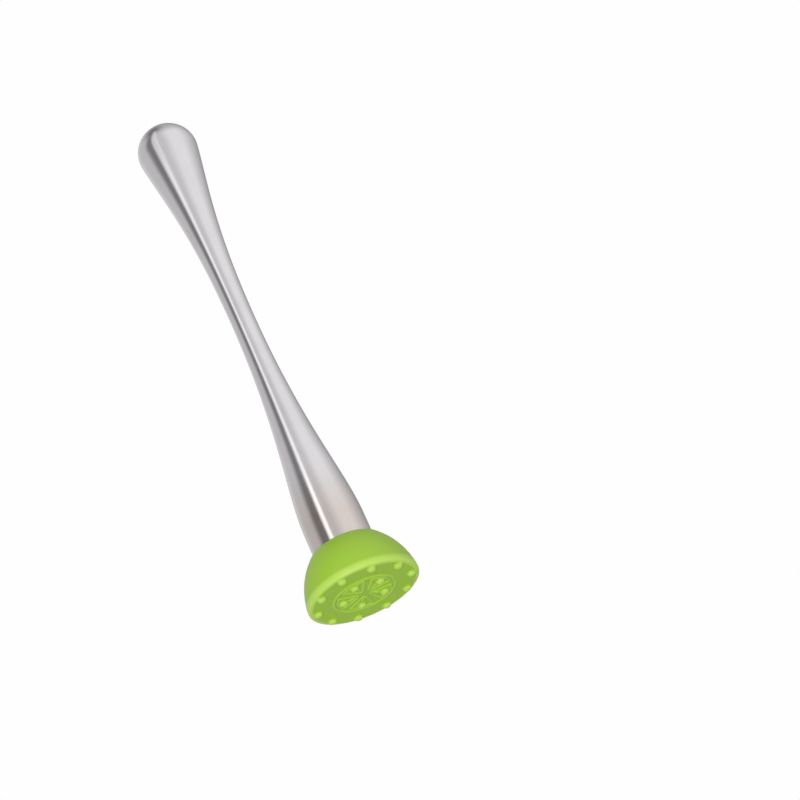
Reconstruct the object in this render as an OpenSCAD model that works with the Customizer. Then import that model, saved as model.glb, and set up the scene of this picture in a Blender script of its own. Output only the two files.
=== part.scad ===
// Bar muddler: a waisted steel handle that screws onto a round silicone
// crushing head with moulded nibs. It stands upright on the nibs, +Z runs up
// the handle, and the origin is under the middle of the head. Millimetres.

/* [Overall] */
// Height of the standing muddler, from the nib tips to the top of the pommel
total_h = 205; // [190:1:230]

/* [Handle] */
// Radius of the ball-shaped pommel
pommel_r = 11.1; // [10:0.1:13]
// Radius of the narrow waist
waist_r = 4.35; // [4:0.05:6]
// Height of the waist above the nib tips
waist_z = 115.5; // [105:0.5:125]
// Radius of the foot, where the handle enters the head
foot_r = 10.7; // [10.2:0.1:11]
// Height at which the flare has become a straight foot
foot_top_z = 28.5; // [28:0.5:34]
// Wall of the steel tube
tube_wall = 0.8; // [0.6:0.1:1]

/* [Head] */
// Half width of the dome's ellipse
dome_r = 19.9; // [19.7:0.1:20.5]
// Half height of the dome's ellipse
dome_ellipse_h = 23.6; // [23:0.1:25]
// Height of the head's flat top above the crushing face
head_h = 17.8; // [17.5:0.1:18.5]
// Radius of the flat crushing face
face_r = 18.9; // [18.6:0.1:19]
// Height of the upright band around the crushing face
band_h = 2.9; // [2:0.1:4]
// Thickness of silicone under the core
base_wall = 2.8; // [2.2:0.1:3.5]

/* [Nibs and relief] */
// Radius of one nib
nib_r = 1.35; // [1.3:0.05:1.5]
// Height of the nibs, which is less than their radius, so each has a flat tip
nib_h = 1.2; // [1:0.05:1.25]
// Number of nibs in the outer ring
outer_nibs = 10; // [8:1:12]
// Radius of the outer ring of nibs
outer_ring_r = 16.8; // [16.5:0.1:17.4]
// Number of nibs in the inner ring, one in each segment of the relief
inner_nibs = 5; // [5:1:6]
// Radius of the inner ring of nibs
inner_ring_r = 7.8; // [7.2:0.1:8.2]
// Outer radius of the raised citrus wheel
relief_r = 11.2; // [10.8:0.1:12]
// Width of a raised line of the relief
rib_w = 0.6; // [0.5:0.05:0.8]
// Height of a raised line of the relief
rib_h = 0.4; // [0.3:0.05:0.6]

/* [Screw joint] */
// Nominal thread diameter of the stud
thread_d = 8; // [8:1:8]
// Thread pitch
thread_pitch = 1.25; // [1.25:0.25:1.25]
// Turns of thread in engagement
thread_turns = 9; // [7:1:9]

/* [Hidden] */
$fn = 96;
eps = 0.01;

// Levels, counted up from the nib tips
face_z = nib_h;
head_top_z = face_z + head_h;
core_bottom_z = face_z + base_wall;
socket_depth = 2.15;
core_top_z = head_top_z - socket_depth;
seat_gap = 0.3;
foot_z = core_top_z + seat_gap;
thread_len = thread_turns * thread_pitch;
pommel_z = total_h - pommel_r;

// Handle curves: where each Bezier's arms reach, and the slope at the pommel
upper_slope = 7.3;
upper_arm_waist = 41;
upper_arm_pommel = 18.2;
lower_arm_waist = 48;
lower_arm_foot = 17.6;
curve_steps = 14;

// Dome: level of the ellipse's centre above the face, where the shoulder
// leaves the ellipse, the arms of the shoulder's curve, and the bevelled edge
// between the crushing face and the band
dome_centre_h = -1.5;
shoulder_h = 15.5;
shoulder_arm_low = 1.5;
shoulder_arm_top = 1.4;
shoulder_steps = 6;
face_edge = 0.5;
arc_steps = 8;

// Socket in the top of the cover, and the core inside it
socket_gap = 0.15;
socket_r = foot_r + socket_gap;
shoulder_margin = 0.1;
cover_wall = 2.2;
core_r = dome_r - cover_wall;
core_ellipse_h = dome_ellipse_h - cover_wall / 2;

// Screw joint: threads are plain cylinders at the mean thread radius
stud_r = thread_d / 2 - 0.05;
insert_bore_r = thread_d / 2;
insert_r = 5.2;
hex_across = 13;
hex_h = 5.3;
hex_z = 7.5;
tip_chamfer = 0.8;
stud_tip_z = foot_z + thread_len;
plug_len = thread_len + 0.1;

// Seal ring and the groove under the plug that carries it
seal_ring_r = 6.85;
seal_wire_r = 0.85;
seal_gap = 0.15;
seal_z = core_top_z + seal_gap + seal_wire_r;

// Segments of the citrus wheel
segment_half = 180 / inner_nibs;
segment_gap = 0.9;
segment_r = relief_r - rib_w - segment_gap;
segment_steps = 6;
inner_turn = 36;

function bezier(a, b, c, d, t) =
    pow(1 - t, 3) * a + 3 * pow(1 - t, 2) * t * b + 3 * (1 - t) * t * t * c + pow(t, 3) * d;

function bezier_run(a, b, c, d, n) = [for (i = [0 : n]) bezier(a, b, c, d, i / n)];

// Handle profile as [radius, height], from the foot up to the pommel's equator.
// inset moves it inward for the bore of the tube.
function foot_curve(inset) = bezier_run(
    [foot_r - inset, foot_top_z],
    [foot_r - inset, foot_top_z + lower_arm_foot],
    [waist_r - inset, waist_z - lower_arm_waist],
    [waist_r - inset, waist_z], curve_steps);

function pommel_start(inset) =
    [(pommel_r - inset) * cos(upper_slope), pommel_z - (pommel_r - inset) * sin(upper_slope)];

function pommel_curve(inset) = bezier_run(
    [waist_r - inset, waist_z],
    [waist_r - inset, waist_z + upper_arm_waist],
    pommel_start(inset) - upper_arm_pommel * [sin(upper_slope), cos(upper_slope)],
    pommel_start(inset), curve_steps);

function without_first(list) = [for (i = [1 : len(list) - 1]) list[i]];

function reversed(list) = [for (i = [len(list) - 1 : -1 : 0]) list[i]];

function handle_profile(inset) = concat(
    [[foot_r - inset, foot_z]],
    foot_curve(inset),
    without_first(pommel_curve(inset)),
    [[pommel_r - inset, pommel_z]]);

// Radius of an upright ellipse at a height above its centre
function ellipse_at(r, full_h, h) = r * sqrt(1 - pow(h / full_h, 2));

// Radius of the dome at a height above the crushing face
function dome_at(h) = ellipse_at(dome_r, dome_ellipse_h, h - dome_centre_h);

// The shoulder runs on from the dome without a kink, and ends level at the socket
function shoulder_curve() =
    let (start = [dome_at(shoulder_h), shoulder_h],
         end = [socket_r + shoulder_margin, head_h],
         step = start - [dome_at(shoulder_h - 1), shoulder_h - 1])
    bezier_run(start, start + shoulder_arm_low * step,
        end + [shoulder_arm_top, 0], end, shoulder_steps);

// Outside of the head as [radius, height above the face], face to flat top
function head_outline() = concat(
    [[0, 0], [face_r, 0], [face_r + face_edge, face_edge]],
    [for (i = [0 : arc_steps])
        let (h = band_h + (shoulder_h - band_h) * i / arc_steps)
        [dome_at(h), h]],
    without_first(shoulder_curve()),
    [[0, head_h]]);

// Outline of the rigid core as [radius, height above the nib tips]
function core_outline() = concat(
    [[0, core_bottom_z]],
    [for (i = [0 : arc_steps])
        let (z = core_bottom_z + (core_top_z - core_bottom_z) * i / arc_steps)
        [ellipse_at(core_r, core_ellipse_h, z - face_z - dome_centre_h), z]],
    [[0, core_top_z]]);

// One citrus segment: an apex, two straight sides and a round back
function segment_outline(inset) =
    let (side = segment_gap / 2 + inset,
         back_r = segment_r - inset,
         reach = segment_half - asin(side / back_r))
    concat([[side / sin(segment_half), 0]],
        [for (i = [0 : segment_steps])
            let (a = -reach + 2 * reach * i / segment_steps)
            back_r * [cos(a), sin(a)]]);

// Swaged stainless tube: straight foot, slim waist, widening to the pommel
module handle_shell() {
    color("#c9c9c7")
    rotate_extrude()
    polygon(concat(handle_profile(0), reversed(handle_profile(tube_wall))));
}

// Upper half of the pommel, welded on at its equator and ground flush
module pommel_cap() {
    color("#cfcfcd")
    translate([0, 0, pommel_z])
    difference() {
        sphere(pommel_r);
        sphere(pommel_r - tube_wall);
        translate([0, 0, -pommel_r])
        cube(2 * pommel_r, center = true);
    }
}

// Nylon plug pressed into the foot of the tube
module end_plug() {
    color("#2b2b2b")
    difference() {
        translate([0, 0, foot_z])
        cylinder(h = plug_len, r = foot_r - tube_wall);
        translate([0, 0, foot_z - eps])
        cylinder(h = plug_len + 2 * eps, r = insert_r);
        seal_groove();
    }
}

// Ring-shaped groove in the plug's lower face
module seal_groove() {
    groove_r = seal_wire_r + seal_gap;
    translate([0, 0, foot_z - eps])
    difference() {
        cylinder(h = seal_z + groove_r - foot_z + eps, r = seal_ring_r + groove_r);
        translate([0, 0, -eps])
        cylinder(h = seal_z + groove_r - foot_z + 3 * eps, r = seal_ring_r - groove_r);
    }
}

// Brass insert moulded into the plug, with the internal thread as a plain bore
module threaded_insert() {
    color("#c9a24a")
    translate([0, 0, foot_z])
    difference() {
        cylinder(h = plug_len, r = insert_r);
        translate([0, 0, -eps])
        cylinder(h = plug_len + 2 * eps, r = insert_bore_r);
    }
}

// Silicone O-ring that keeps juice out of the thread
module seal_ring() {
    color("#e8e8e4")
    translate([0, 0, seal_z])
    rotate_extrude()
    translate([seal_ring_r, 0])
    circle(seal_wire_r, $fn = 32);
}

// One nib: a ball sunk to its middle in the face and flattened at the tip
module nib() {
    intersection() {
        translate([0, 0, face_z])
        sphere(nib_r, $fn = 32);
        translate([0, 0, face_z])
        cube([3 * nib_r, 3 * nib_r, 2 * nib_h], center = true);
    }
}

module nib_ring(count, ring_r, turn) {
    for (i = [0 : count - 1])
        rotate([0, 0, turn + 360 * i / count])
        translate([ring_r, 0, 0])
        nib();
}

// Raised citrus wheel in the middle of the crushing face
module relief() {
    translate([0, 0, face_z - rib_h]) {
        difference() {
            cylinder(h = 2 * rib_h, r = relief_r);
            translate([0, 0, -eps])
            cylinder(h = 2 * rib_h + 2 * eps, r = relief_r - rib_w);
        }
        for (i = [0 : inner_nibs - 1])
            rotate([0, 0, inner_turn + 360 * i / inner_nibs])
            difference() {
                linear_extrude(2 * rib_h)
                polygon(segment_outline(0));
                translate([0, 0, -eps])
                linear_extrude(2 * rib_h + 2 * eps)
                polygon(segment_outline(rib_w));
            }
    }
}

// Green silicone cover moulded over the core, open at the top for the handle
module head_cover() {
    color("#9ac23e") {
        difference() {
            translate([0, 0, face_z])
            rotate_extrude()
            polygon(head_outline());
            rotate_extrude()
            polygon(core_outline());
            translate([0, 0, core_top_z - eps])
            cylinder(h = head_top_z - core_top_z + 2 * eps, r = socket_r);
        }
        nib_ring(outer_nibs, outer_ring_r, 0);
        nib_ring(inner_nibs, inner_ring_r, inner_turn);
        relief();
    }
}

// Rigid nylon core that the cover grips and the stud is moulded into
module head_core() {
    color("#f0efe8")
    difference() {
        rotate_extrude()
        polygon(core_outline());
        stud_solid();
    }
}

// Hexagon-headed steel stud, with its thread as a plain shank
module head_stud() {
    color("#b9bbbd")
    stud_solid();
}

module stud_solid() {
    translate([0, 0, hex_z])
    cylinder(h = hex_h, d = hex_across / cos(30), $fn = 6);
    translate([0, 0, hex_z + hex_h - eps])
    cylinder(h = stud_tip_z - tip_chamfer - hex_z - hex_h + eps, r = stud_r);
    translate([0, 0, stud_tip_z - tip_chamfer])
    cylinder(h = tip_chamfer, r1 = stud_r, r2 = stud_r - tip_chamfer);
}

handle_shell();
pommel_cap();
end_plug();
threaded_insert();
seal_ring();
head_cover();
head_core();
head_stud();
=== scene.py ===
# %% [markdown]
# # A bar muddler, from frame to finished picture
#
# A muddler crushes fruit and mint in the bottom of a glass. This one has a slim
# steel handle with a ball pommel, screwed into a round silicone head with nibs.
# The engineering model already fixes where every part is and how the handle
# unscrews. This lesson builds the fine meshes and finishes around that frame.

# %% Load the frame
import math

import bpy
from mathutils import Matrix, Vector


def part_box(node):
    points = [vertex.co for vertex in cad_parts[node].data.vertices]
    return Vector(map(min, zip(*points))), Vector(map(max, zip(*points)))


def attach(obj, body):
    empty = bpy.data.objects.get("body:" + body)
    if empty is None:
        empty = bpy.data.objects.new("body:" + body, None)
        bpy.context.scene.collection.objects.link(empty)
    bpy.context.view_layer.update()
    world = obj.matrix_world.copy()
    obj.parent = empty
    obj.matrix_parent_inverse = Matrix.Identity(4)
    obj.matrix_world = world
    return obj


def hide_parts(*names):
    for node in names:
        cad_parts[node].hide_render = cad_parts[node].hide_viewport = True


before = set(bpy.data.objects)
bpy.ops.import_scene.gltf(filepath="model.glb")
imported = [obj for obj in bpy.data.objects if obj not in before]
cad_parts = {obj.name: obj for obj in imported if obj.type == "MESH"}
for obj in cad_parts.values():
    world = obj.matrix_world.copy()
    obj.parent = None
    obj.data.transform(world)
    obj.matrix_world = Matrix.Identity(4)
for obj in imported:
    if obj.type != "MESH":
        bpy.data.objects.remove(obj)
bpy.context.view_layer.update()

# %% [markdown]
# ## Measuring in millimetres
#
# Blender works in metres here, and a maker thinks of this tool in millimetres,
# so outlines are written in millimetres and multiplied by `MM` at the end. The
# levels come from the frame's own boxes, so the new pieces land on the parts
# that they stand for.

# %% Levels and radii from the frame
MM = 0.001


def node_bottom(node):
    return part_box(node)[0].z / MM


def node_top(node):
    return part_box(node)[1].z / MM


foot_z = node_bottom("handle_shell")
equator_z = node_top("handle_shell")
total_h = node_top("pommel_cap")
pommel_r = total_h - equator_z
head_top_z = node_top("head_cover")
core_bottom_z = node_bottom("head_core")
core_top_z = node_top("head_core")
print(f"handle {foot_z:.2f} to {total_h:.2f} mm, pommel radius {pommel_r:.2f} mm")

# %% [markdown]
# ## The camera
#
# The picture looks up at the tool from below, so that the crushing face shows.
# A long lens from under a metre away keeps the shape true with a little
# perspective. The camera first faces the middle of the tool, then rolls, and
# then aims beside it, which leaves the right of the picture free. Aiming aside
# does this without a lens shift, so every other view of the scene is centred.

# %% Camera
camera_distance = 0.836
camera_elevation = math.radians(-30.1)
camera_roll = math.radians(23.94)
aim_right = 50.5 * MM
aim_up = -18.0 * MM
lens_mm = 107.55
middle = Vector((0, 0, 103.1 * MM))

toward_camera = Vector((0, -math.cos(camera_elevation), math.sin(camera_elevation)))
level_right = Vector((1, 0, 0))
level_up = toward_camera.cross(level_right)
right = level_right * math.cos(camera_roll) - level_up * math.sin(camera_roll)
up = level_right * math.sin(camera_roll) + level_up * math.cos(camera_roll)
position = middle + toward_camera * camera_distance
target = middle + right * aim_right + up * aim_up
back = (position - target).normalized()
side = up.cross(back).normalized()

camera = bpy.data.objects.new("camera", bpy.data.cameras.new("camera"))
bpy.context.scene.collection.objects.link(camera)
camera.data.lens = lens_mm
camera.data.sensor_width = 36
camera.matrix_world = Matrix.Translation(position) @ Matrix(
    (side, back.cross(side), back)).transposed().to_4x4()
bpy.context.scene.camera = camera
print("camera stands at", [round(c, 3) for c in position])

# %% [markdown]
# ## Helpers for colours and nodes
#
# Colours are easiest to choose as the hex values of a paint chart, but shaders
# want linear light, so one function converts them. Another adds any node to any
# tree, with its settings and links, which keeps each material and each Geometry
# Nodes tree short enough to read. Some nodes hide several sockets behind one
# name, and `socket` picks the one that is in use. A few, like Math, give all
# their sockets one name, and those are picked by number.


# %% Colour and node helpers
def linear(hex_colour):
    channels = [int(hex_colour[i:i + 2], 16) / 255 for i in (1, 3, 5)]
    return tuple(
        c / 12.92 if c <= 0.04045 else ((c + 0.055) / 1.055) ** 2.4
        for c in channels) + (1.0,)


def socket(sockets, name):
    if isinstance(name, int):
        return sockets[name]
    return next(s for s in sockets if s.name == name and s.enabled)


def add_node(tree, kind, inputs=None, **settings):
    """Add a node. An input given as a socket is linked, and any other is set."""
    node = tree.nodes.new(kind)
    for name, value in settings.items():
        setattr(node, name, value)
    for name, value in (inputs or {}).items():
        if isinstance(value, bpy.types.NodeSocket):
            tree.links.new(value, socket(node.inputs, name))
        else:
            socket(node.inputs, name).default_value = value
    return node


def result(node, name="Result"):
    return socket(node.outputs, name)


def new_material(name, constants):
    """A Principled material with its constants on the shader's own sockets."""
    material = bpy.data.materials.new(name)
    material.use_nodes = True
    shader = material.node_tree.nodes["Principled BSDF"]
    for name, value in constants.items():
        shader.inputs[name].default_value = value
    return material, material.node_tree, shader


# %% [markdown]
# ## Satin stainless steel
#
# The handle is a swaged tube of 304 stainless, linished on a belt while it
# turns. The belt leaves fine scratches round the tube. They blur reflections
# along the handle and leave them sharp across it, so light and dark run down
# the handle as long crisp bands. An anisotropic shader does the same when its
# tangent runs round Z. The real scratches are well under a tenth of a
# millimetre wide, and are drawn at about half a millimetre so that they show.

# %% Satin steel
steel, tree, shader = new_material(
    "satin_304_stainless", {
        "Metallic": 1.0, "Anisotropic": 0.75, "Anisotropic Rotation": 0.25})
place = result(add_node(tree, "ShaderNodeTexCoord"), "Object")
around = add_node(tree, "ShaderNodeTangent", direction_type="RADIAL", axis="Z")
tree.links.new(result(around, "Tangent"), shader.inputs["Tangent"])

scratch_pitch = 0.5 * MM
stretched = add_node(tree, "ShaderNodeMapping", {
    "Vector": place, "Rotation": (0.06, 0.09, 0), "Scale": (50, 50, 1 / scratch_pitch)})
scratches = result(add_node(tree, "ShaderNodeTexNoise", {
    "Vector": result(stretched, "Vector"), "Scale": 1.0, "Detail": 3.0}), "Fac")
roughness = add_node(tree, "ShaderNodeMapRange", {
    "Value": scratches, "From Min": 0.3, "From Max": 0.7, "To Min": 0.16, "To Max": 0.22})
tree.links.new(result(roughness), shader.inputs["Roughness"])
bumps = add_node(tree, "ShaderNodeBump", {
    "Height": scratches, "Strength": 0.05, "Distance": 0.005 * MM})
tree.links.new(result(bumps, "Normal"), shader.inputs["Normal"])

# Handling leaves soft clouds, and the colour turns faintly warmer towards the foot.
cloud_size = 9 * MM
clouds = result(add_node(tree, "ShaderNodeTexNoise", {
    "Vector": place, "Scale": 1 / cloud_size, "Detail": 2.0}), "Fac")
height = result(add_node(tree, "ShaderNodeSeparateXYZ", {"Vector": place}), "Z")
tint = add_node(tree, "ShaderNodeMapRange", {
    "Value": height, "From Min": 28 * MM, "From Max": 48 * MM, "To Min": 1.0, "To Max": 0.0})
clean = add_node(tree, "ShaderNodeMix", {
    "Factor": clouds, "A": linear("#cecbce"), "B": linear("#d9d6d9")}, data_type="RGBA")
tinted = add_node(tree, "ShaderNodeMix", {
    "Factor": result(tint), "A": result(clean), "B": linear("#cdc4c0")}, data_type="RGBA")
tree.links.new(result(tinted), shader.inputs["Base Color"])
print("made", steel.name)

# %% [markdown]
# ## Moulded silicone
#
# The head's cover is liquid silicone rubber, moulded in a lime green. Light
# goes a little way into it, which softens shadows and makes thin edges glow, so
# the shader has some subsurface scattering. The mould was sand-blasted, so the
# surface is satin: a very fine grain over a broad, soft highlight. The grain is
# drawn at a quarter of a millimetre, about as fine as a picture can hold.

# %% Green silicone
silicone, tree, shader = new_material("moulded_green_silicone", {
    "Roughness": 0.42, "IOR": 1.41, "Subsurface Weight": 0.25,
    "Subsurface Radius": (1.0, 1.2, 0.4), "Subsurface Scale": 0.8 * MM})
place = result(add_node(tree, "ShaderNodeTexCoord"), "Object")
pigment = result(add_node(tree, "ShaderNodeTexNoise", {
    "Vector": place, "Scale": 1 / (14 * MM), "Detail": 1.5}), "Fac")
green = add_node(tree, "ShaderNodeMix", {
    "Factor": pigment, "A": linear("#94c423"), "B": linear("#a1c631")}, data_type="RGBA")

# Painted light: the solid band below the core is painted paler, a painted glow standing in for
# light that shines through it and off it.
parts = add_node(tree, "ShaderNodeSeparateXYZ", {"Vector": place})
flat = add_node(tree, "ShaderNodeCombineXYZ", {
    "X": result(parts, "X"), "Y": result(parts, "Y")})
radius = add_node(tree, "ShaderNodeVectorMath", {0: result(flat, "Vector")},
                  operation="LENGTH")
near_edge = add_node(tree, "ShaderNodeMapRange", {
    "Value": result(radius, "Value"), "From Min": 18.0 * MM, "From Max": 18.6 * MM})
below_core = add_node(tree, "ShaderNodeMapRange", {
    "Value": result(parts, "Z"), "From Min": 4.5 * MM, "From Max": 2.6 * MM},
    interpolation_type="SMOOTHSTEP")
painted_glow_band = add_node(tree, "ShaderNodeMath", {
    0: result(near_edge), 1: result(below_core)}, operation="MULTIPLY")
# The nibs and ribs, which stand below the crushing face, get painted highlights: they are
# painted paler towards their tips.
painted_tip_highlight = add_node(tree, "ShaderNodeMapRange", {
    "Value": result(parts, "Z"), "From Min": 1.1 * MM, "From Max": 0.3 * MM})
# Painted light: where either painted mask is high, the green is mixed towards a pale green.
painted_light_share = add_node(tree, "ShaderNodeMath", {
    0: result(painted_glow_band, "Value"), 1: result(painted_tip_highlight)}, operation="MAXIMUM")
painted_light_green = add_node(tree, "ShaderNodeMix", {
    "Factor": result(painted_light_share, "Value"), "A": result(green), "B": linear("#b6da58")},
    data_type="RGBA")
tree.links.new(result(painted_light_green), shader.inputs["Base Color"])
grain = result(add_node(tree, "ShaderNodeTexNoise", {
    "Vector": place, "Scale": 1 / (0.25 * MM), "Detail": 2.0}), "Fac")
bumps = add_node(tree, "ShaderNodeBump", {
    "Height": grain, "Strength": 0.12, "Distance": 0.03 * MM})
tree.links.new(result(bumps, "Normal"), shader.inputs["Normal"])
print("made", silicone.name)

# %% [markdown]
# ## The hidden parts' finishes
#
# Unscrewing the handle uncovers a plug, a brass insert, an O-ring, a core and a
# stud. Each has a plain finish with a little wear or grain: a speckled colour
# and an uneven roughness from one noise texture. They differ only in colours,
# sizes and constants, so one function makes them all.


# %% Nylon, brass, seal rubber and zinc-plated steel
def grained(name, dark, light, grain_mm, rough, constants):
    material, tree, shader = new_material(name, constants)
    place = result(add_node(tree, "ShaderNodeTexCoord"), "Object")
    grain = result(add_node(tree, "ShaderNodeTexNoise", {
        "Vector": place, "Scale": 1 / (grain_mm * MM), "Detail": 3.0}), "Fac")
    colour = add_node(tree, "ShaderNodeMix", {
        "Factor": grain, "A": linear(dark), "B": linear(light)}, data_type="RGBA")
    tree.links.new(result(colour), shader.inputs["Base Color"])
    uneven = add_node(tree, "ShaderNodeMapRange", {
        "Value": grain, "To Min": rough - 0.08, "To Max": rough + 0.08})
    tree.links.new(result(uneven), shader.inputs["Roughness"])
    bumps = add_node(tree, "ShaderNodeBump", {
        "Height": grain, "Strength": 0.15, "Distance": 0.05 * MM})
    tree.links.new(result(bumps, "Normal"), shader.inputs["Normal"])
    print("made", name)
    return material


# Glass-filled nylon 6: hard, matte and slightly mottled where the fibres show.
black_nylon = grained("glass_filled_black_nylon", "#1d1d1f", "#2d2d2f", 0.5, 0.5, {"IOR": 1.53})
white_nylon = grained("natural_nylon", "#dedbd0", "#ebe9df", 0.8, 0.45, {
    "IOR": 1.53, "Subsurface Weight": 0.15, "Subsurface Scale": 1.0 * MM})
# Turned free-cutting brass, dulled a little by handling.
turned_brass = grained("turned_brass", "#c49a4e", "#dcb866", 1.5, 0.3, {"Metallic": 1.0})
# Clear silicone cord for food use, milky where it is thick.
seal_rubber = grained("milky_seal_silicone", "#d5d5ce", "#e4e4de", 0.6, 0.35, {
    "IOR": 1.41, "Subsurface Weight": 0.3, "Subsurface Scale": 0.8 * MM})
# Bright zinc plating, with the faint blue of its passivation.
zinc_plate = grained("blue_passivated_zinc_plate", "#b4b8bf", "#c8cbd0", 1.2, 0.28, {
    "Metallic": 1.0})

# %% [markdown]
# ## Turning outlines on a lathe
#
# Nearly every piece here is round, and on the bench it comes off a lathe or out
# of a round mould. `lathe` does the same: it turns an outline of (radius,
# height) points round Z. `soften` first rounds chosen corners of the outline,
# because a real edge always has a small radius, and it is what catches light.
# Blender's own Spin or Screw could do it too, but a list of rings leaves no
# doubled vertices at the seam, and closes each pole with a single vertex.


# %% Outline and lathe helpers
def bezier(a, b, c, d, steps):
    """Points of a cubic Bezier curve, from a to d."""
    points = []
    for i in range(steps + 1):
        t = i / steps
        s = 1 - t
        weights = (s ** 3, 3 * s * s * t, 3 * s * t * t, t ** 3)
        points.append(tuple(
            sum(w * p[k] for w, p in zip(weights, (a, b, c, d))) for k in (0, 1)))
    return points


def soften(corners, steps=6):
    """Round each (radius, height, edge radius) corner with a short curve."""
    points = []
    for i, (r, z, edge) in enumerate(corners):
        if edge == 0 or i in (0, len(corners) - 1):
            points.append((r, z))
            continue
        here = Vector((r, z))
        before = here + (Vector(corners[i - 1][:2]) - here).normalized() * edge
        after = here + (Vector(corners[i + 1][:2]) - here).normalized() * edge
        points += bezier(before, before.lerp(here, 0.55), after.lerp(here, 0.55), after, steps)
    return points


def lathe(name, outline, sides, ring_closed=False, turn=0.0):
    """A closed mesh from an outline in mm. Points on the axis become poles."""
    verts, rings = [], []
    for r, z in outline:
        if r < 1e-4:
            rings.append([len(verts)] * sides)
            verts.append((0, 0, z * MM))
            continue
        rings.append(range(len(verts), len(verts) + sides))
        for k in range(sides):
            a = turn + 2 * math.pi * k / sides
            verts.append((r * MM * math.cos(a), r * MM * math.sin(a), z * MM))
    if ring_closed:
        rings.append(rings[0])
    faces = []
    for low, high in zip(rings, rings[1:]):
        for k in range(sides):
            n = (k + 1) % sides
            corners = (low[k], low[n], high[n], high[k])
            faces.append(tuple(dict.fromkeys(corners)))
    mesh = bpy.data.meshes.new(name)
    mesh.from_pydata(verts, [], faces)
    mesh.shade_smooth()
    mesh.set_sharp_from_angle(angle=math.radians(35))
    piece = bpy.data.objects.new(name, mesh)
    bpy.context.scene.collection.objects.link(piece)
    print(f"{name}: {len(mesh.polygons)} faces")
    return piece


# %% [markdown]
# ## The handle
#
# The tube is straight where it enters the head, narrows to a waist that two
# fingers close round, and widens into the pommel. Two Bezier curves give the
# whole line: one from the foot to the waist and one from the waist to the ball.
# Both arms at the waist are upright, so the curves meet without a kink. The
# arms' lengths set how long the waist stays slim. The bore follows the outside
# at the wall's thickness, and the cut end at the foot is broken with a small
# radius. The outline runs up the outside and down the bore, so the faces point
# outwards.

# %% Handle tube
foot_r = 10.7
foot_top_z = 28.5
waist_r = 4.35
waist_z = 115.5
tube_wall = 0.8
cone_angle = math.radians(7.3)
foot_arm, below_waist_arm, above_waist_arm, neck_arm = 17.6, 48, 41, 18.2
handle_sides = 256


def handle_line(inset, steps):
    """The tube's line from foot to pommel equator, moved inwards by inset."""
    ball = pommel_r - inset
    cone = Vector((math.sin(cone_angle), math.cos(cone_angle)))
    start = Vector((ball * cone.y, equator_z - ball * cone.x))
    foot, waist = foot_r - inset, waist_r - inset
    lower = bezier((foot, foot_top_z), (foot, foot_top_z + foot_arm),
                   (waist, waist_z - below_waist_arm), (waist, waist_z), steps)
    upper = bezier((waist, waist_z), (waist, waist_z + above_waist_arm),
                   start - cone * neck_arm, start, steps)
    arc = [(ball * math.cos(a), equator_z - ball * math.sin(a))
           for a in (cone_angle * (1 - i / 4) for i in range(1, 5))]
    return lower + upper[1:] + arc


edge = 0.3
cut_end = soften([
    (foot_r - tube_wall, foot_top_z, 0), (foot_r - tube_wall, foot_z, edge),
    (foot_r, foot_z, edge), (foot_r, foot_top_z, 0)], 4)
outside = handle_line(0, 70)
bore = handle_line(tube_wall, 30)
handle_tube = lathe("handle_tube", cut_end[1:-1] + outside + bore[::-1], handle_sides, True)
handle_tube.data.materials.append(steel)
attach(handle_tube, "handle")
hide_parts("handle_shell")

# %% [markdown]
# ## The pommel cap
#
# The upper half of the ball is a pressed dome, a touch flatter than a true ball,
# welded on at the equator and ground flush. Its outline is two quarter rounds,
# the outside and the inside, and both end on the axis, where the lathe closes
# them with a pole.

# %% Pommel cap
cap_flatness = 0.965
quarter = [math.pi / 2 * i / 48 for i in range(49)]
cap_rise = pommel_r * cap_flatness
inner_r = pommel_r - tube_wall
inner_rise = cap_rise - tube_wall
dome_out = [(pommel_r * math.cos(a), equator_z + cap_rise * math.sin(a)) for a in quarter]
dome_in = [(inner_r * math.cos(a), equator_z + inner_rise * math.sin(a)) for a in quarter[::2]]
dome_out[-1] = (0, equator_z + cap_rise)
dome_in[-1] = (0, equator_z + inner_rise)
pommel = lathe("pommel_dome", dome_in[::-1] + dome_out, handle_sides)
pommel.data.materials.append(steel)
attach(pommel, "handle")
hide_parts("pommel_cap")

# %% [markdown]
# ## The silicone head
#
# The head is half a ball on an upright band, with a flat crushing face. One
# outline makes it: across the face, round its edge, up the band and the dome,
# over a soft shoulder, down the socket for the handle's foot, and round the
# cavity that grips the core. The face is cut into fine rings, because the nibs
# and the raised pattern are pushed out of it in the next step, as a mould would
# do.

# %% Head outline
face_z = 1.2
face_r = 18.2
rim_reach = 0.9
rim_top_z = face_z + 0.9
band_r = 19.75
band_h = 2.9
band_lean = 0.12
dome_r = 19.88
dome_ellipse_h = 23.62
dome_centre_h = -1.2
shoulder_h = 15.5
shoulder_arm = 2.0
socket_r = 10.85
cover_wall = 2.2
head_sides = 480
face_ring_step = 0.21


def dome_at(h, wall=0.0):
    """The dome's radius at a height above the face, moved inwards by a wall."""
    share = (h - dome_centre_h) / (dome_ellipse_h - wall / 2)
    return (dome_r - wall) * math.sqrt(1 - share ** 2)


rings_in_face = round(face_r / face_ring_step)
face_line = [(face_r * i / rings_in_face, face_z) for i in range(rings_in_face + 1)]
rim_line = bezier((face_r, face_z), (face_r + rim_reach, face_z), (band_r, rim_top_z - 0.7),
                  (band_r, rim_top_z), 12)[1:]
band_top_r, band_top_z = dome_at(band_h), face_z + band_h
band_line = bezier((band_r, rim_top_z), (band_r, rim_top_z + 0.8),
                   (band_top_r + band_lean, band_top_z - 0.4), (band_top_r, band_top_z), 8)[1:]
dome_line = [(dome_at(h), face_z + h) for h in (
    band_h + (shoulder_h - band_h) * i / 32 for i in range(1, 33))]
shoulder = Vector(dome_line[-1])
run_on = shoulder - Vector(dome_line[-2])
run_on *= shoulder_arm / run_on.length
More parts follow.
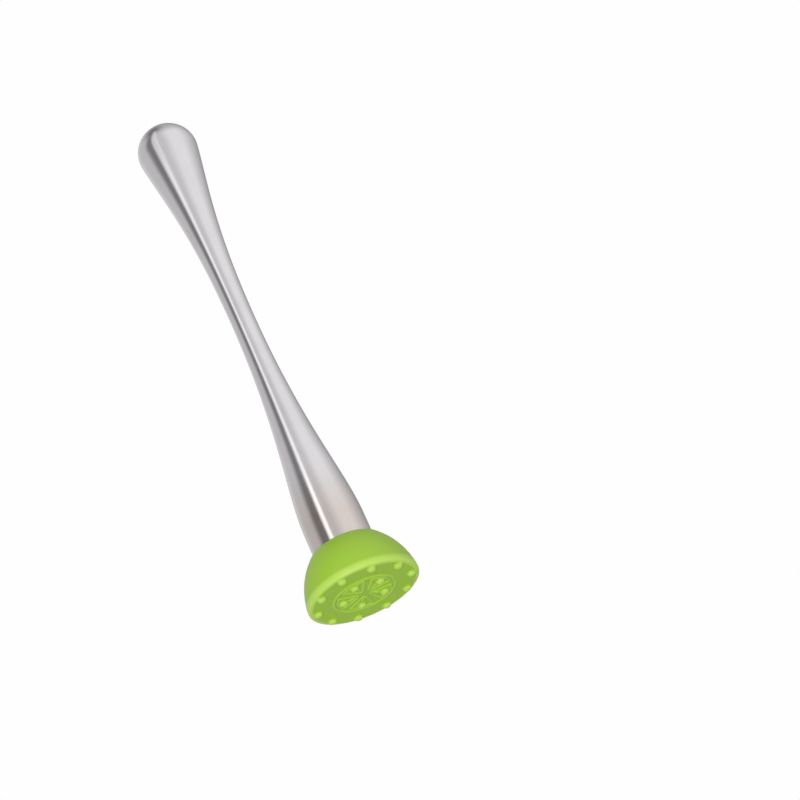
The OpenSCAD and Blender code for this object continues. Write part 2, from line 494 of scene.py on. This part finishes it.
# The last points turn over the lip of the socket, which has only a small radius.
top_line = bezier(shoulder, shoulder + run_on, (socket_r + 1.5, head_top_z - 0.05),
                  (socket_r + 0.1, head_top_z - 0.08), 12)[1:]
socket_line = [(socket_r + 0.03, head_top_z - 0.12), (socket_r, head_top_z - 0.22),
               (socket_r, core_top_z)]
cavity_line = [(dome_at(z - face_z, cover_wall), z) for z in (
    core_top_z + (core_bottom_z - core_top_z) * i / 16 for i in range(17))]
head_outline = (face_line + rim_line + band_line + dome_line + top_line + socket_line
                + cavity_line + [(0, core_bottom_z)])
head = lathe("silicone_head", head_outline, head_sides)

# %% [markdown]
# ## Nibs and a citrus wheel, pressed out with Geometry Nodes
#
# Ten nibs stand round the rim and five more stand in a raised citrus wheel. A
# maker would mill all of them into the mould as one relief, and a Geometry
# Nodes tree can do the same. It lays out points for the nibs and curves for the
# wheel, measures how far each point of the face is from them, and pushes the
# face down by a height that depends on that distance. Separate little balls
# would be simpler, but they would meet the face in a hard crease. Here every
# nib and rib runs into the face with the soft fillet that a moulding has.

# %% The relief tree
relief = bpy.data.node_groups.new("moulded_relief", "GeometryNodeTree")
relief_sizes = {
    "Face height": face_z * MM,
    "Nib reach": 2.0 * MM, "Nib height": face_z * MM,
    "Outer ring radius": 16.8 * MM, "Outer nibs": 10,
    "Inner ring radius": 7.8 * MM, "Inner nibs": 5, "Inner ring turn": math.radians(36),
    "Rib reach": 0.7 * MM, "Rib height": 0.4 * MM, "Wheel radius": 10.9 * MM,
    "Segment length": 8.0 * MM, "Segment start": 1.5 * MM, "Segment corner": 0.9 * MM,
    "Pulp start": 2.3 * MM, "Pulp length": 2.2 * MM,
}
relief.interface.new_socket("Geometry", in_out="INPUT", socket_type="NodeSocketGeometry")
for name, value in relief_sizes.items():
    kind = "NodeSocketInt" if isinstance(value, int) else "NodeSocketFloat"
    relief.interface.new_socket(name, in_out="INPUT", socket_type=kind)
relief.interface.new_socket("Material", in_out="INPUT", socket_type="NodeSocketMaterial")
relief.interface.new_socket("Geometry", in_out="OUTPUT", socket_type="NodeSocketGeometry")
given = add_node(relief, "NodeGroupInput").outputs

# %% Where the nibs go
outer = add_node(relief, "GeometryNodeMeshCircle", {
    "Vertices": given["Outer nibs"], "Radius": given["Outer ring radius"]})
inner = add_node(relief, "GeometryNodeMeshCircle", {
    "Vertices": given["Inner nibs"], "Radius": given["Inner ring radius"]})
inner_turn = add_node(relief, "ShaderNodeCombineXYZ", {"Z": given["Inner ring turn"]})
turned = add_node(relief, "GeometryNodeTransform", {
    "Geometry": result(inner, "Mesh"), "Rotation": result(inner_turn, "Vector")})
nib_points = add_node(relief, "GeometryNodeJoinGeometry")
relief.links.new(result(outer, "Mesh"), nib_points.inputs[0])
relief.links.new(result(turned, "Geometry"), nib_points.inputs[0])
at_face = add_node(relief, "ShaderNodeCombineXYZ", {"Z": given["Face height"]})
nib_layout = add_node(relief, "GeometryNodeTransform", {
    "Geometry": result(nib_points, "Geometry"), "Translation": result(at_face, "Vector")})
print("nib layout ready")

# %% [markdown]
# The citrus wheel is a round rim with five segments inside it. Each segment is
# a wedge with rounded corners and one line of pulp: an arc joined to its centre,
# moved outwards so that the middle of the wheel stays free, and set out five
# times round Z. The points that carry the inner nibs also carry the segments,
# so the two always line up.

# %% Curves of the citrus wheel
rim = add_node(relief, "GeometryNodeCurvePrimitiveCircle", {
    "Resolution": 180, "Radius": given["Wheel radius"]})
rim_line_mesh = add_node(relief, "GeometryNodeCurveToMesh", {"Curve": result(rim, "Curve")})
half_wedge = math.radians(31)
wedge = add_node(relief, "GeometryNodeCurveArc", {
    "Resolution": 32, "Radius": given["Segment length"], "Start Angle": -half_wedge,
    "Sweep Angle": 2 * half_wedge, "Connect Center": True})
rounded = add_node(relief, "GeometryNodeFilletCurve", {
    "Curve": result(wedge, "Curve"), "Limit Radius": True,
    "Radius": given["Segment corner"]}, mode="POLY")
rounded.inputs["Count"].default_value = 6
# Measured from the inner nib that carries it, a segment starts this far inwards.
inwards = add_node(relief, "ShaderNodeMath", {
    0: given["Segment start"], 1: given["Inner ring radius"]}, operation="SUBTRACT")
inwards_x = add_node(relief, "ShaderNodeCombineXYZ", {"X": result(inwards, "Value")})
pulp_start = add_node(relief, "ShaderNodeCombineXYZ", {"X": given["Pulp start"]})
pulp = add_node(relief, "GeometryNodeCurvePrimitiveLine", {
    "Start": result(pulp_start, "Vector"), "Direction": (1, 0, 0),
    "Length": given["Pulp length"]}, mode="DIRECTION")
wedge_and_pulp = add_node(relief, "GeometryNodeJoinGeometry")
relief.links.new(result(rounded, "Curve"), wedge_and_pulp.inputs[0])
relief.links.new(result(pulp, "Curve"), wedge_and_pulp.inputs[0])
segment = add_node(relief, "GeometryNodeTransform", {
    "Geometry": result(wedge_and_pulp, "Geometry"),
    "Translation": result(inwards_x, "Vector")})
segment_mesh = add_node(relief, "GeometryNodeCurveToMesh", {
    "Curve": result(segment, "Geometry")})
place = result(add_node(relief, "GeometryNodeInputPosition"), "Position")
facing_out = add_node(relief, "FunctionNodeAlignRotationToVector", {
    "Vector": place}, axis="X", pivot_axis="Z")
segments = add_node(relief, "GeometryNodeInstanceOnPoints", {
    "Points": result(turned, "Geometry"), "Instance": result(segment_mesh, "Mesh"),
    "Rotation": result(facing_out, "Rotation")})
real_segments = add_node(relief, "GeometryNodeRealizeInstances", {
    "Geometry": result(segments, "Instances")})
ribs = add_node(relief, "GeometryNodeJoinGeometry")
relief.links.new(result(rim_line_mesh, "Mesh"), ribs.inputs[0])
relief.links.new(result(real_segments, "Geometry"), ribs.inputs[0])
rib_layout = add_node(relief, "GeometryNodeTransform", {
    "Geometry": result(ribs, "Geometry"), "Translation": result(at_face, "Vector")})
print("wheel curves ready")

# %% [markdown]
# Now the distances become heights. A nib's profile is drawn once as a small
# curve: a rounded tip, a steep side, and a fillet where it meets the face. A
# rib is a smooth step. Whichever stands higher wins, and only the points of the
# face and its edge move.

# %% Pushing the relief out of the face
nib_gap = add_node(relief, "GeometryNodeProximity", {
    "Geometry": result(nib_layout, "Geometry"), "Sample Position": place},
    target_element="POINTS")
nib_share = add_node(relief, "ShaderNodeMapRange", {
    "Value": result(nib_gap, "Distance"), "From Max": given["Nib reach"]})
nib_profile = add_node(relief, "ShaderNodeFloatCurve", {"Value": result(nib_share)})
profile = nib_profile.mapping.curves[0]
profile.points[0].location = (0.0, 1.0)
profile.points[-1].location = (1.0, 0.0)
for share, level in ((0.25, 0.96), (0.5, 0.82), (0.68, 0.58), (0.78, 0.3), (0.88, 0.07)):
    profile.points.new(share, level)
nib_profile.mapping.update()
nib_rise = add_node(relief, "ShaderNodeMath", {
    0: result(nib_profile, "Value"), 1: given["Nib height"]}, operation="MULTIPLY")

rib_gap = add_node(relief, "GeometryNodeProximity", {
    "Geometry": result(rib_layout, "Geometry"), "Sample Position": place},
    target_element="EDGES")
rib_rise = add_node(relief, "ShaderNodeMapRange", {
    "Value": result(rib_gap, "Distance"), "From Min": 0.1 * MM,
    "From Max": given["Rib reach"], "To Min": given["Rib height"], "To Max": 0.0},
    interpolation_type="SMOOTHSTEP")
rise = add_node(relief, "ShaderNodeMath", {
    0: result(nib_rise, "Value"), 1: result(rib_rise)}, operation="MAXIMUM")
down = add_node(relief, "ShaderNodeMath", {0: result(rise, "Value"), 1: -1.0},
                operation="MULTIPLY")
push = add_node(relief, "ShaderNodeCombineXYZ", {"Z": result(down, "Value")})

height = add_node(relief, "ShaderNodeSeparateXYZ", {"Vector": place})
limit = add_node(relief, "ShaderNodeMath", {0: given["Face height"], 1: 0.3 * MM})
on_face = add_node(relief, "FunctionNodeCompare", {
    "A": result(height, "Z"), "B": result(limit, "Value")}, operation="LESS_THAN")
moulded = add_node(relief, "GeometryNodeSetPosition", {
    "Geometry": given["Geometry"], "Selection": result(on_face),
    "Offset": result(push, "Vector")})
real = add_node(relief, "GeometryNodeRealizeInstances", {
    "Geometry": result(moulded, "Geometry")})
finished = add_node(relief, "GeometryNodeSetMaterial", {
    "Geometry": result(real, "Geometry"), "Material": given["Material"]})
add_node(relief, "NodeGroupOutput", {"Geometry": result(finished, "Geometry")})
print("relief tree:", len(relief.nodes), "nodes")

# %% [markdown]
# The tree goes on the head as a modifier. Its inputs are set first, by each
# socket's identifier, and then the evaluated result is kept as a plain mesh, so
# that nothing is left to run later.


# %% Keeping a tree's result as a plain mesh
def keep_result(piece, tree, sizes, material):
    modifier = piece.modifiers.new(tree.name, "NODES")
    modifier.node_group = tree
    for item in tree.interface.items_tree:
        if item.in_out == "INPUT" and item.name in sizes:
            modifier[item.identifier] = sizes[item.name]
        if item.in_out == "INPUT" and item.name == "Material":
            modifier[item.identifier] = material
    solid = piece.evaluated_get(bpy.context.evaluated_depsgraph_get())
    mesh = bpy.data.meshes.new_from_object(solid)
    piece.modifiers.clear()
    piece.data = mesh
    print(f"{piece.name}: {len(mesh.polygons)} faces, "
          f"lowest {min(v.co.z for v in mesh.vertices) / MM:.3f} mm")


keep_result(head, relief, relief_sizes, silicone)
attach(head, "head")
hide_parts("head_cover")

# %% [markdown]
# ## The stud and its insert
#
# The handle screws off for washing. A zinc-plated stud stands up out of the
# head, and a brass insert in the handle's foot turns on it. A thread is a rule:
# the radius rises and falls once per pitch, and the pattern climbs one pitch
# per turn. So one small tree cuts both threads, the stud's from a plain shank
# and the insert's into a plain bore. A helix swept with a profile would also do
# it, but it leaves loose ends where this one fades out.

# %% The thread tree
thread = bpy.data.node_groups.new("screw_thread", "GeometryNodeTree")
thread_inputs = ("Pitch", "Depth", "Plain radius", "Lower end", "Upper end", "Run-out")
thread.interface.new_socket("Geometry", in_out="INPUT", socket_type="NodeSocketGeometry")
for name in thread_inputs:
    thread.interface.new_socket(name, in_out="INPUT", socket_type="NodeSocketFloat")
thread.interface.new_socket("Material", in_out="INPUT", socket_type="NodeSocketMaterial")
thread.interface.new_socket("Geometry", in_out="OUTPUT", socket_type="NodeSocketGeometry")
given = add_node(thread, "NodeGroupInput").outputs
place = result(add_node(thread, "GeometryNodeInputPosition"), "Position")
parts = add_node(thread, "ShaderNodeSeparateXYZ", {"Vector": place})
angle = add_node(thread, "ShaderNodeMath", {
    0: result(parts, "Y"), 1: result(parts, "X")}, operation="ARCTAN2")
turns = add_node(thread, "ShaderNodeMath", {
    0: result(angle, "Value"), 1: 2 * math.pi}, operation="DIVIDE")
pitches = add_node(thread, "ShaderNodeMath", {
    0: result(parts, "Z"), 1: given["Pitch"]}, operation="DIVIDE")
phase = add_node(thread, "ShaderNodeMath", {
    0: result(pitches, "Value"), 1: result(turns, "Value")}, operation="SUBTRACT")
wave = add_node(thread, "ShaderNodeMath", {0: result(phase, "Value"), 1: 0.5},
                operation="PINGPONG")
# The wave runs from 0 at a crest to 0.5 at a root, with a narrow flat on each.
cut = add_node(thread, "ShaderNodeMapRange", {
    "Value": result(wave, "Value"), "From Min": 0.07, "From Max": 0.43})

# %% Fading the thread out at its ends, and moving the wall
rising = add_node(thread, "ShaderNodeMath", {
    0: result(parts, "Z"), 1: given["Lower end"]}, operation="SUBTRACT")
falling = add_node(thread, "ShaderNodeMath", {
    0: given["Upper end"], 1: result(parts, "Z")}, operation="SUBTRACT")
to_end = add_node(thread, "ShaderNodeMath", {
    0: result(rising, "Value"), 1: result(falling, "Value")}, operation="MINIMUM")
fade = add_node(thread, "ShaderNodeMapRange", {
    "Value": result(to_end, "Value"), "From Max": given["Run-out"],
    "To Max": given["Depth"]})
depth = add_node(thread, "ShaderNodeMath", {
    0: result(cut), 1: result(fade)}, operation="MULTIPLY")
flat = add_node(thread, "ShaderNodeCombineXYZ", {
    "X": result(parts, "X"), "Y": result(parts, "Y")})
radius = add_node(thread, "ShaderNodeVectorMath", {
    0: result(flat, "Vector")}, operation="LENGTH")
outwards = add_node(thread, "ShaderNodeVectorMath", {
    0: result(flat, "Vector")}, operation="NORMALIZE")
push = add_node(thread, "ShaderNodeVectorMath", {0: result(outwards, "Vector")},
                operation="SCALE")
thread.links.new(result(depth, "Value"), push.inputs["Scale"])
off_wall = add_node(thread, "ShaderNodeMath", {
    0: result(radius, "Value"), 1: given["Plain radius"]}, operation="SUBTRACT")
distance = add_node(thread, "ShaderNodeMath", {0: result(off_wall, "Value")},
                    operation="ABSOLUTE")
on_wall = add_node(thread, "FunctionNodeCompare", {
    "A": result(distance, "Value"), "B": 0.02 * MM}, operation="LESS_THAN")
cut_wall = add_node(thread, "GeometryNodeSetPosition", {
    "Geometry": given["Geometry"], "Selection": result(on_wall),
    "Offset": result(push, "Vector")})
real = add_node(thread, "GeometryNodeRealizeInstances", {
    "Geometry": result(cut_wall, "Geometry")})
finished = add_node(thread, "GeometryNodeSetMaterial", {
    "Geometry": result(real, "Geometry"), "Material": given["Material"]})
add_node(thread, "NodeGroupOutput", {"Geometry": result(finished, "Geometry")})
print("thread tree:", len(thread.nodes), "nodes")

# %% [markdown]
# The stud is a hexagon-headed bolt that the core is moulded round, so it can't
# turn in there. Its shank gets rings fine enough to hold the thread.

# %% Head stud
pitch = 1.25
shank_r = 3.95
tip_z = node_top("head_stud")
hex_bottom_z = node_bottom("head_stud")
hex_top_z = hex_bottom_z + 5.3
across_flats = 13
hex_corner_r = across_flats / 2 / math.cos(math.pi / 6)
chamfer = 0.8
rings = 120
# The shank starts a little inside the hexagon, so no gap shows between them.
shank_bottom_z, shank_top_z = hex_top_z - 0.5, tip_z - chamfer
wall = [(shank_r, shank_bottom_z + (shank_top_z - shank_bottom_z) * i / rings)
        for i in range(rings + 1)]
stud = lathe("head_stud_m8", [(0, shank_bottom_z)] + wall
             + [(shank_r - chamfer, tip_z), (0, tip_z)], 96)
keep_result(stud, thread, {
    "Pitch": pitch * MM, "Depth": -0.6 * MM, "Plain radius": shank_r * MM,
    "Lower end": core_top_z * MM, "Upper end": (tip_z + 1) * MM,
    "Run-out": 1.0 * MM}, zinc_plate)
hexagon = lathe("stud_hexagon", soften([
    (0, hex_bottom_z, 0), (hex_corner_r, hex_bottom_z, 0.4),
    (hex_corner_r, hex_top_z, 0.4), (0, hex_top_z, 0)], 2), 6)
hexagon.data.materials.append(zinc_plate)
with bpy.context.temp_override(active_object=stud, selected_editable_objects=[stud, hexagon]):
    bpy.ops.object.join()
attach(stud, "head")
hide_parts("head_stud")

# %% [markdown]
# The insert is a round brass bush, pressed into the black plug. Its bore gets
# the same thread, cut outwards, and both ends of the bore are countersunk so
# that the stud finds its way in.

# %% Threaded insert
bush_bottom_z = node_bottom("threaded_insert")
bush_top_z = node_top("threaded_insert")
bush_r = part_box("threaded_insert")[1].x / MM
bore_r = 4.0
countersink = 0.35
rings = 100
bore_low, bore_high = bush_bottom_z + countersink, bush_top_z - countersink
bore_wall = [(bore_r, bore_high + (bore_low - bore_high) * i / rings) for i in range(rings + 1)]
bush = lathe("brass_insert", soften([
    (bore_r + countersink, bush_bottom_z, 0), (bush_r, bush_bottom_z, 0.15),
    (bush_r, bush_top_z, 0.15), (bore_r + countersink, bush_top_z, 0)], 3)
    + bore_wall, 96, True)
keep_result(bush, thread, {
    "Pitch": pitch * MM, "Depth": 0.5 * MM, "Plain radius": bore_r * MM,
    "Lower end": (bush_bottom_z - 1) * MM, "Upper end": (bush_top_z + 1) * MM,
    "Run-out": 1.0 * MM}, turned_brass)
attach(bush, "handle")
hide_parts("threaded_insert")

# %% [markdown]
# ## Parts whose frame shape is already right
#
# The plug, the seal ring and the core are plain turned or moulded shapes. The
# frame's own solids are exact, so they stay as they are and only get a finish.

# %% Finishes for the frame's own parts
for node, material in (("end_plug", black_nylon), ("seal_ring", seal_rubber),
                       ("head_core", white_nylon)):
    for slot in bpy.data.objects[node].material_slots:
        slot.material = material
    print(node, "is", material.name)

# %% [markdown]
# ## The studio
#
# The tool hangs in a white tent. The tent is a round room that only reflections
# can see, because polished steel shows its surroundings and little else. A
# plain white room would make the handle look like plastic. So its wall has a
# black flag and a narrow strip light to the left of the camera, which draw the
# dark band and the bright line down the steel, and it darkens behind the tool,
# which draws its edges. The wall's brightness is a colour ramp round Z, carried
# on across the bottom. The roof is duller, and darkest at the upper left, where
# it shades that side of the pommel.

# %% Things that only reflections see
strip_glow = 2.0


def glowing(name):
    """A material that only glows, with its tree and its glow node."""
    material, tree, shader = new_material(name, {})
    tree.nodes.remove(shader)
    glow = add_node(tree, "ShaderNodeEmission", {"Strength": strip_glow})
    tree.links.new(result(glow, "Emission"), tree.nodes["Material Output"].inputs["Surface"])
    return material, tree, glow


def only_reflected(piece, material):
    """Hide a piece of the set from everything but reflections."""
    piece.data.materials.append(material)
    for kind_of_ray in ("camera", "diffuse", "transmission", "shadow", "volume_scatter"):
        setattr(piece, "visible_" + kind_of_ray, False)


# %% Tent walls
tent_r, tent_bottom, eaves_z, ridge_z = 1600, -600, 2600, 4400
tent, tree, glow = glowing("tent_cloth")
place = result(add_node(tree, "ShaderNodeTexCoord"), "Object")
parts = add_node(tree, "ShaderNodeSeparateXYZ", {"Vector": place})
# 0.5 is straight towards the camera, 0.75 is 90 degrees to its right.
toward = add_node(tree, "ShaderNodeMath", {0: result(parts, "Y"), 1: -1.0},
                  operation="MULTIPLY")
angle = add_node(tree, "ShaderNodeMath", {
    0: result(parts, "X"), 1: result(toward, "Value")}, operation="ARCTAN2")
share = add_node(tree, "ShaderNodeMapRange", {
    "Value": result(angle, "Value"), "From Min": -math.pi, "From Max": math.pi})
ramp = add_node(tree, "ShaderNodeValToRGB", {"Fac": result(share)})
# What stands round the tent: its first and last angle in degrees round Z from the
# camera, and its brightness. Between two neighbours the cloth blends.
round_the_tent = {
    "end of the backdrop": (-180, -180, 0.2), "rear left wall": (-150, -140, 0.41),
    "left wall": (-120, -80, 0.36),
    "black flag": (-60, -45, 0.13), "strip light": (-30, -28, 0.72),
    "front wall": (-15, 0, 0.4), "right wall": (30, 70, 0.55), "backdrop": (150, 180, 0.2)}
marks = [(degrees, level) for first, last, level in round_the_tent.values()
         for degrees in (first, last)]
stops = ramp.color_ramp.elements
while len(stops) < len(marks):
    stops.new(0.5)
for stop, (degrees, level) in zip(stops, marks):
    stop.position = (degrees + 180) / 360
    stop.color = (level, level, level, 1)
roof = add_node(tree, "ShaderNodeMapRange", {
    "Value": result(parts, "Z"), "From Min": 2.2, "From Max": 4.2})
up_left = add_node(tree, "ShaderNodeMath", {
    0: result(parts, "Z"), 1: result(parts, "X")}, operation="SUBTRACT")
shaded = add_node(tree, "ShaderNodeMapRange", {
    "Value": result(up_left, "Value"), "From Min": 3.4, "From Max": 4.6})
roof_look = add_node(tree, "ShaderNodeMix", {
    "Factor": result(shaded), "A": (0.28, 0.28, 0.28, 1), "B": (0.08, 0.08, 0.08, 1)},
    data_type="RGBA")
cloth = add_node(tree, "ShaderNodeMix", {
    "Factor": result(roof), "A": result(ramp, "Color"), "B": result(roof_look)},
    data_type="RGBA")
tree.links.new(result(cloth), glow.inputs["Color"])
only_reflected(lathe("tent_walls", [
    (0, tent_bottom), (tent_r, tent_bottom), (tent_r, eaves_z), (1200, 3900),
    (0, ridge_z)], 96), tent)

# %% [markdown]
# Three small cards stand close to the handle, and again only reflections can see
# them. Beside the foot, a black one widens the dark band and a glowing one
# whitens the line next to it. A tall grey one beside the pommel lets that line
# fade out at the top. Cards propped on a set do the same.

# %% Cards beside the handle
card_r = 110


def card(name, level, azimuth, width, low, high):
    """A flat upright card facing the handle, azimuth degrees round it from the camera."""
    paper, tree, glow = glowing(name)
    glow.inputs["Color"].default_value = (level, level, level, 1)
    mesh = bpy.data.meshes.new(name)
    side = width / 2 * MM
    mesh.from_pydata([(x, 0, z * MM) for x, z in (
        (-side, low), (side, low), (side, high), (-side, high))], [], [(0, 3, 2, 1)])
    piece = bpy.data.objects.new(name, mesh)
    bpy.context.scene.collection.objects.link(piece)
    a = math.radians(azimuth)
    piece.rotation_euler[2] = a
    piece.location = (math.sin(a) * card_r * MM, -math.cos(a) * card_r * MM, 0)
    only_reflected(piece, paper)


card("black_card", 0.12, -47, 50, 15, 125)
card("white_card", 0.95, -24, 18, 15, 125)
card("grey_card", 0.45, -29, 26, 215, 600)
print("tent and cards ready")

# %% [markdown]
# The floor is a plain pale sheet well below the tool, because the camera looks
# up from under it. The sky looks white, but lights the scene only about half as
# much, so that the lamps can model the head. The main soft lamp stands low on
# the camera's side: it lights the band most, then the dome, and the crushing
# face least. It is there for the silicone only. The steel is shielded from it by
# light linking, because the lamp's mirror image would bleach the handle from
# above. A weaker lamp behind keeps the far side from going dull.

# %% Floor, sky and lamps
floor_z, floor_r, sheet = -620, 9000, 10
floor = lathe("floor", [
    (0, floor_z - sheet), (floor_r, floor_z - sheet), (floor_r, floor_z), (0, floor_z)], 64)
paint, tree, shader = new_material("matt_white_floor_paint", {"Roughness": 0.8})
place = result(add_node(tree, "ShaderNodeTexCoord"), "Object")
cloudy = result(add_node(tree, "ShaderNodeTexNoise", {
    "Vector": place, "Scale": 3.0, "Detail": 2.0}), "Fac")
white = add_node(tree, "ShaderNodeMix", {
    "Factor": cloudy, "A": linear("#f3f3f2"), "B": linear("#f6f6f5")}, data_type="RGBA")
tree.links.new(result(white), shader.inputs["Base Color"])
shader.inputs["Emission Color"].default_value = linear("#ffffff")
shader.inputs["Emission Strength"].default_value = 0.45
floor.data.materials.append(paint)
floor.visible_diffuse = False

world = bpy.data.worlds.new("white_sky")
world.use_nodes = True
tree = world.node_tree
seen = result(add_node(tree, "ShaderNodeLightPath"), "Is Camera Ray")
white = add_node(tree, "ShaderNodeMix", {
    "Factor": seen, "A": linear("#c4c4c4"), "B": linear("#fefefe")}, data_type="RGBA")
tree.links.new(result(white), tree.nodes["Background"].inputs["Color"])
bpy.context.scene.world = world


def lamp(name, watts, width, height, azimuth, elevation, glossy, distance=1.24):
    """A soft box aimed at the tool, placed round it from the camera."""
    light = bpy.data.lights.new(name, "AREA")
    light.shape, light.energy = "RECTANGLE", watts
    light.size, light.size_y = width, height
    holder = bpy.data.objects.new(name, light)
    bpy.context.scene.collection.objects.link(holder)
    a, e = math.radians(azimuth), math.radians(elevation)
    away = Vector((math.sin(a) * math.cos(e), -math.cos(a) * math.cos(e), math.sin(e)))
    holder.matrix_world = Matrix.Translation(middle + away * distance) @ (
        away.to_track_quat("Z", "Y").to_matrix().to_4x4())
    holder.visible_camera = False
    holder.visible_glossy = glossy
    return holder


low_box = lamp("low_soft_box", 8.6, 0.6, 0.22, -6, -28, glossy=True)
lamp("rear_soft_box", 8.0, 0.6, 0.6, 160, 30, glossy=False)

# %% Shielding the steel from the low lamp
shielded = bpy.data.collections.new("shielded_from_low_box")
for piece in (handle_tube, pommel):
    shielded.objects.link(piece)
for entry in shielded.collection_objects:
    entry.light_linking.link_state = "EXCLUDE"
low_box.light_linking.receiver_collection = shielded
bpy.context.scene.view_settings.view_transform = "Standard"
print("studio ready")
